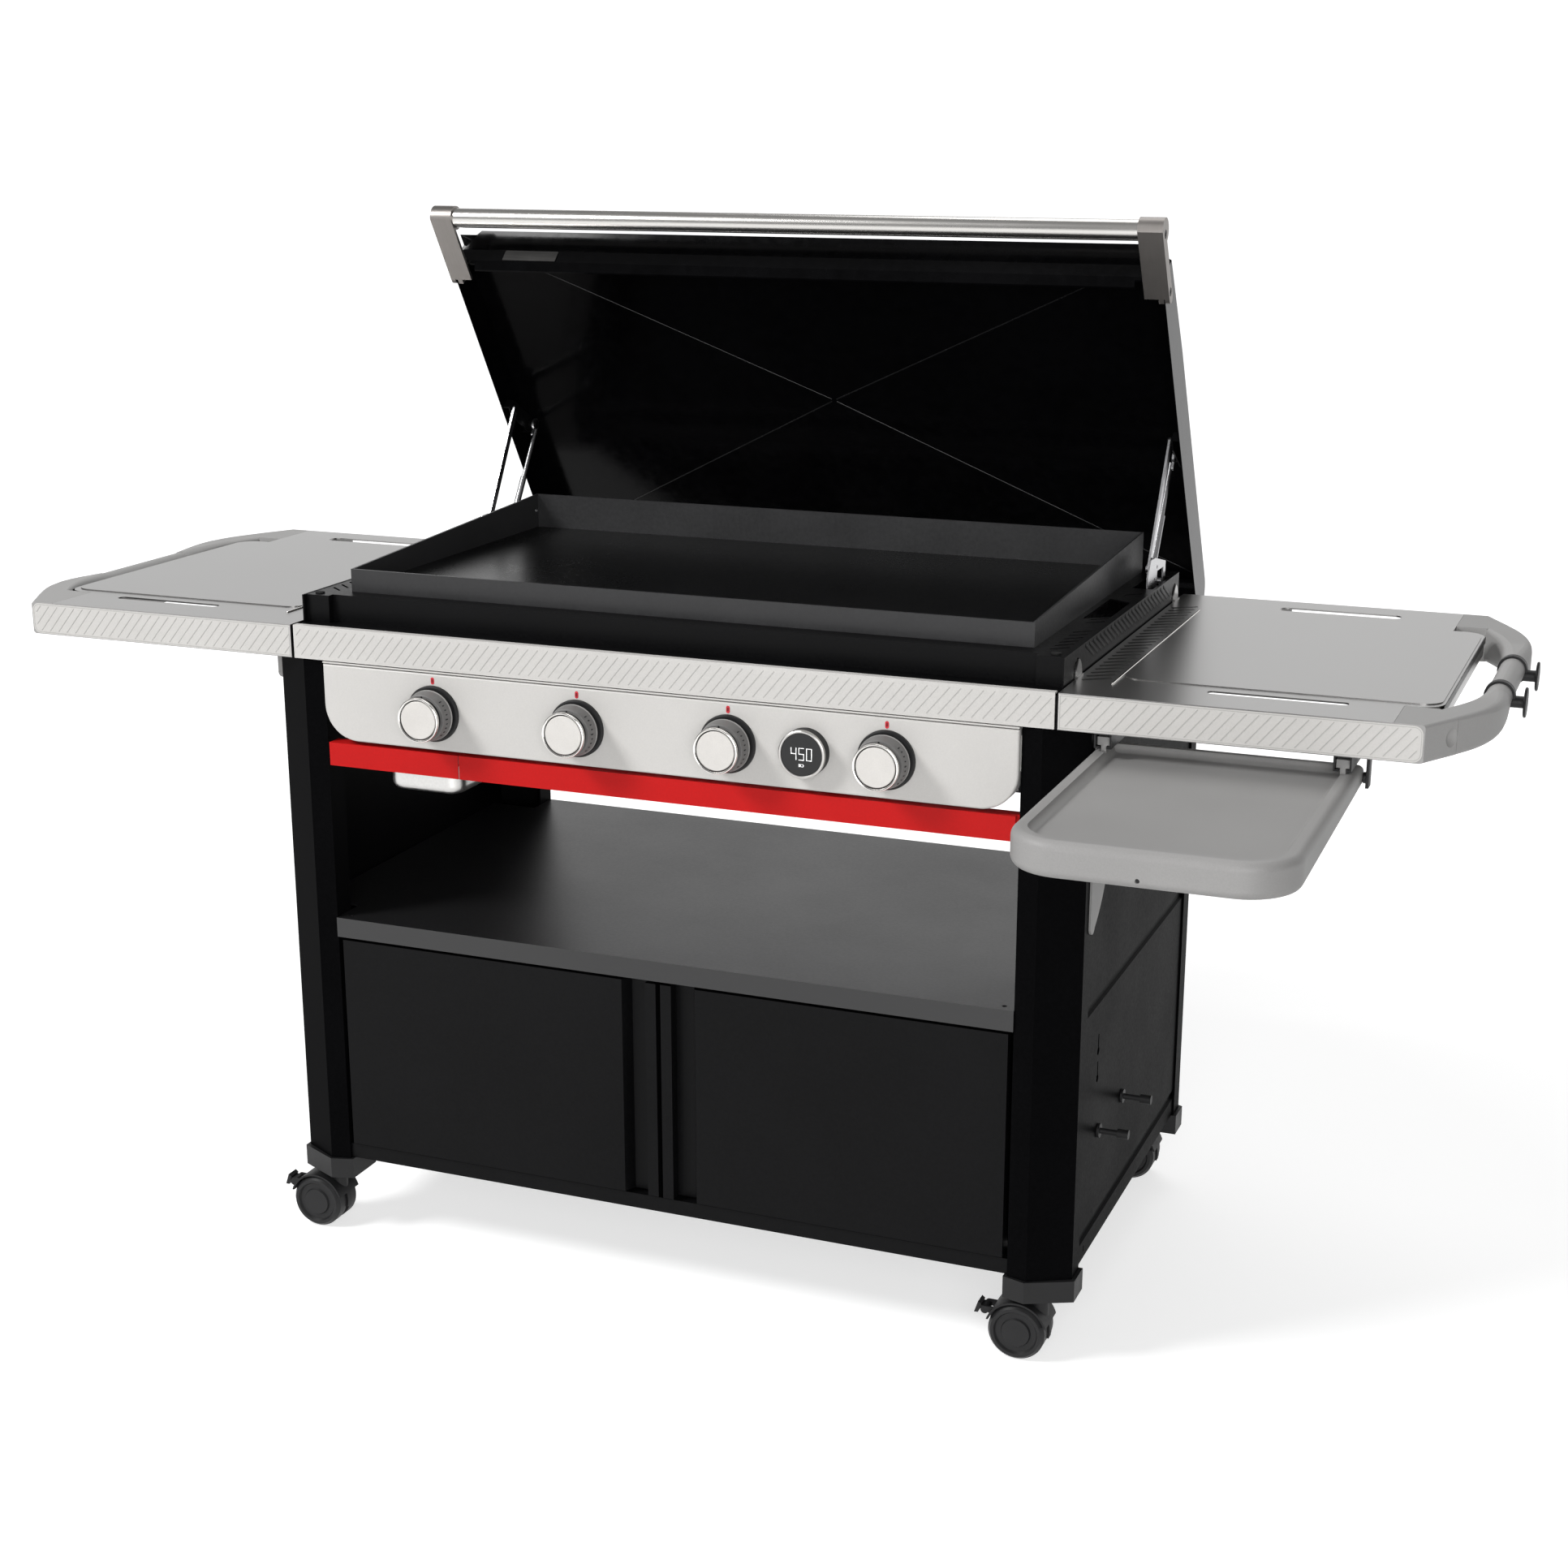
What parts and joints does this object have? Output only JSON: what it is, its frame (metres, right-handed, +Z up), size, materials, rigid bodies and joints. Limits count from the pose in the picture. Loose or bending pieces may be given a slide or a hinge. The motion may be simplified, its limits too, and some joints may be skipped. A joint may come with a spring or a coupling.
{
  "type": "outdoor gas griddle station",
  "caption": "Free-standing outdoor gas griddle station with a linked lid over a steel plate, side tables with hoops, pull-out tray, open shelf and a cabinet on swivel casters",
  "frame": {"origin": "on the floor under the middle of the whole station, with the lid open and the tray drawn out", "axes": "+X to the right hand side as the cook stands in front, +Y to the rear, +Z up"},
  "size_m": [1.9748, 1.1354, 1.3533],
  "materials": {
    "black_enamel": "semi-gloss black powder coat",
    "band_steel": "warm light grey satin paint",
    "red_enamel": "satin red powder coat",
    "tray_aluminium": "pressed aluminium",
    "griddle_steel": "blackened seasoned rolled steel",
    "bright_steel": "polished stainless tube",
    "satin_steel": "satin stainless",
    "rubber_black": "black rubber",
    "zinc_steel": "zinc plated steel",
    "table_steel": "satin light grey",
    "grey_moulding": "light grey moulded plastic",
    "tray_moulding": "light grey moulded plastic",
    "black_moulding": "black moulded plastic",
    "wheel_black": "dark grey wheel plastic",
    "knob_black": "black plastic",
    "knob_satin": "satin metal",
    "display_black": "black gloss with satin ring"
  },
  "bodies": {
    "cart": {"arm_plates": "zinc_steel", "back_panel": "black_enamel", "bumpers": "rubber_black", "burners": "zinc_steel", "control_panel": "band_steel", "display": "display_black", "end_castings": "grey_moulding", "firebox": "zinc_steel", "floor_panel": "black_enamel", "foot_caps": "black_moulding", "front_band": "band_steel", "front_legs": "black_enamel", "gas_manifold": "zinc_steel", "grease_chute": "zinc_steel", "griddle_plate": "griddle_steel", "hoop_tubes": "grey_moulding", "knob_bezels": "knob_black", "rear_legs": "black_enamel", "shelf": "black_enamel", "side_panel_left": "black_enamel", "side_panel_right": "black_enamel", "side_pegs": "black_moulding", "surround": "black_enamel", "table_braces": "tray_moulding", "table_left": "table_steel", "table_right": "table_steel", "tool_hooks": "black_moulding", "tray_rail": "red_enamel", "tray_runners": "zinc_steel"},
    "arm_left": {"lid_arm_left": "zinc_steel"},
    "arm_right": {"lid_arm_right": "zinc_steel"},
    "rod_left": {"lid_rod_left": "zinc_steel"},
    "rod_right": {"lid_rod_right": "zinc_steel"},
    "lid": {"lid": "black_enamel", "lid_handle": "bright_steel", "handle_brackets": "satin_steel", "lid_brackets": "black_enamel"},
    "door_left": {"door_left": "black_enamel"},
    "door_right": {"door_right": "black_enamel"},
    "grease_tray": {"grease_tray": "red_enamel", "grease_cup": "tray_aluminium"},
    "pull_tray": {"pull_tray": "tray_moulding"},
    "lever_left": {"brake_lever_left": "black_moulding"},
    "lever_right": {"brake_lever_right": "black_moulding"},
    "stem_1": {"valve_stem_1": "zinc_steel"},
    "knob_1": {"knob_1": "knob_satin"},
    "stem_2": {"valve_stem_2": "zinc_steel"},
    "knob_2": {"knob_2": "knob_satin"},
    "stem_3": {"valve_stem_3": "zinc_steel"},
    "knob_3": {"knob_3": "knob_satin"},
    "stem_4": {"valve_stem_4": "zinc_steel"},
    "knob_4": {"knob_4": "knob_satin"},
    "swivel_front_left": {"caster_hood_front_left": "black_moulding"},
    "wheels_front_left": {"caster_wheels_front_left": "wheel_black"},
    "swivel_front_right": {"caster_hood_front_right": "black_moulding"},
    "wheels_front_right": {"caster_wheels_front_right": "wheel_black"},
    "swivel_rear_left": {"caster_hood_rear_left": "black_moulding"},
    "wheels_rear_left": {"caster_wheels_rear_left": "wheel_black"},
    "swivel_rear_right": {"caster_hood_rear_right": "black_moulding"},
    "wheels_rear_right": {"caster_wheels_rear_right": "wheel_black"}
  },
  "joints": [
    {"name": "arm_left_turn", "type": "hinge", "parent": "cart", "child": "arm_left", "pos_m": [-0.49556, 0.28428, 0.903], "axis": [1, 0, 0], "range_deg": [0, 122.77]},
    {"name": "lid_turn", "type": "hinge", "parent": "arm_left", "child": "lid", "pos_m": [-0.49556, 0.37528, 1.058], "axis": [1, 0, 0], "range_deg": [-64.78, 0]},
    {"name": "arm_right_turn", "type": "hinge", "parent": "cart", "child": "arm_right", "pos_m": [0.48044, 0.28428, 0.903], "axis": [1, 0, 0], "range_deg": [0, 122.77]},
    {"name": "rod_left_turn", "type": "hinge", "parent": "lid", "child": "rod_left", "pos_m": [-0.49056, 0.42728, 1.03], "axis": [1, 0, 0], "range_deg": [0, 50.65]},
    {"name": "rod_right_turn", "type": "hinge", "parent": "lid", "child": "rod_right", "pos_m": [0.47544, 0.42728, 1.03], "axis": [1, 0, 0], "range_deg": [0, 50.65]},
    {"name": "door_left_turn", "type": "hinge", "parent": "cart", "child": "door_left", "pos_m": [-0.45656, -0.19572, 0.28], "axis": [0, 0, -1], "range_deg": [0, 100]},
    {"name": "door_right_turn", "type": "hinge", "parent": "cart", "child": "door_right", "pos_m": [0.44144, -0.19572, 0.28], "axis": [0, 0, 1], "range_deg": [0, 100]},
    {"name": "grease_tray_slide", "type": "slide", "parent": "cart", "child": "grease_tray", "axis": [0, -1, 0], "range_m": [0, 0.24]},
    {"name": "pull_tray_slide", "type": "slide", "parent": "cart", "child": "pull_tray", "axis": [0, 1, 0], "range_m": [0, 0.35]},
    {"name": "stem_1_push", "type": "slide", "parent": "cart", "child": "stem_1", "axis": [0, 1, 0], "range_m": [0, 0.004], "stiffness_N_per_m": 600},
    {"name": "knob_1_turn", "type": "hinge", "parent": "stem_1", "child": "knob_1", "pos_m": [-0.30996, -0.23272, 0.7495], "axis": [0, -1, 0], "range_deg": [0, 180]},
    {"name": "stem_2_push", "type": "slide", "parent": "cart", "child": "stem_2", "axis": [0, 1, 0], "range_m": [0, 0.004], "stiffness_N_per_m": 600},
    {"name": "knob_2_turn", "type": "hinge", "parent": "stem_2", "child": "knob_2", "pos_m": [-0.10836, -0.23272, 0.7495], "axis": [0, -1, 0], "range_deg": [0, 180]},
    {"name": "stem_3_push", "type": "slide", "parent": "cart", "child": "stem_3", "axis": [0, 1, 0], "range_m": [0, 0.004], "stiffness_N_per_m": 600},
    {"name": "knob_3_turn", "type": "hinge", "parent": "stem_3", "child": "knob_3", "pos_m": [0.09324, -0.23272, 0.7495], "axis": [0, -1, 0], "range_deg": [0, 180]},
    {"name": "stem_4_push", "type": "slide", "parent": "cart", "child": "stem_4", "axis": [0, 1, 0], "range_m": [0, 0.004], "stiffness_N_per_m": 600},
    {"name": "knob_4_turn", "type": "hinge", "parent": "stem_4", "child": "knob_4", "pos_m": [0.29484, -0.23272, 0.7495], "axis": [0, -1, 0], "range_deg": [0, 180]},
    {"name": "swivel_front_left_turn", "type": "hinge", "parent": "cart", "child": "swivel_front_left", "pos_m": [-0.50756, -0.18272, 0.09], "axis": [0, 0, 1], "continuous": true},
    {"name": "wheels_front_left_roll", "type": "hinge", "parent": "swivel_front_left", "child": "wheels_front_left", "pos_m": [-0.53056, -0.18272, 0.036], "axis": [0, 1, 0], "continuous": true},
    {"name": "swivel_front_right_turn", "type": "hinge", "parent": "cart", "child": "swivel_front_right", "pos_m": [0.49244, -0.18272, 0.09], "axis": [0, 0, 1], "continuous": true},
    {"name": "wheels_front_right_roll", "type": "hinge", "parent": "swivel_front_right", "child": "wheels_front_right", "pos_m": [0.46944, -0.18272, 0.036], "axis": [0, 1, 0], "continuous": true},
    {"name": "swivel_rear_left_turn", "type": "hinge", "parent": "cart", "child": "swivel_rear_left", "pos_m": [-0.50756, 0.38328, 0.09], "axis": [0, 0, 1], "continuous": true},
    {"name": "wheels_rear_left_roll", "type": "hinge", "parent": "swivel_rear_left", "child": "wheels_rear_left", "pos_m": [-0.53056, 0.38328, 0.036], "axis": [0, 1, 0], "continuous": true},
    {"name": "swivel_rear_right_turn", "type": "hinge", "parent": "cart", "child": "swivel_rear_right", "pos_m": [0.49244, 0.38328, 0.09], "axis": [0, 0, 1], "continuous": true},
    {"name": "wheels_rear_right_roll", "type": "hinge", "parent": "swivel_rear_right", "child": "wheels_rear_right", "pos_m": [0.46944, 0.38328, 0.036], "axis": [0, 1, 0], "continuous": true},
    {"name": "lever_left_press", "type": "hinge", "parent": "swivel_front_left", "child": "lever_left", "pos_m": [-0.57456, -0.18272, 0.053], "axis": [0, -1, 0], "range_deg": [0, 15]},
    {"name": "lever_right_press", "type": "hinge", "parent": "swivel_front_right", "child": "lever_right", "pos_m": [0.42544, -0.18272, 0.053], "axis": [0, -1, 0], "range_deg": [0, 15]}
  ],
  "couplings": [
    {"joint": "lid_turn", "follows": "arm_left_turn", "ratio": -0.52757},
    {"joint": "arm_right_turn", "follows": "arm_left_turn", "ratio": 1},
    {"joint": "rod_left_turn", "follows": "arm_left_turn", "ratio": 0.41248},
    {"joint": "rod_right_turn", "follows": "arm_left_turn", "ratio": 0.41248}
  ]
}
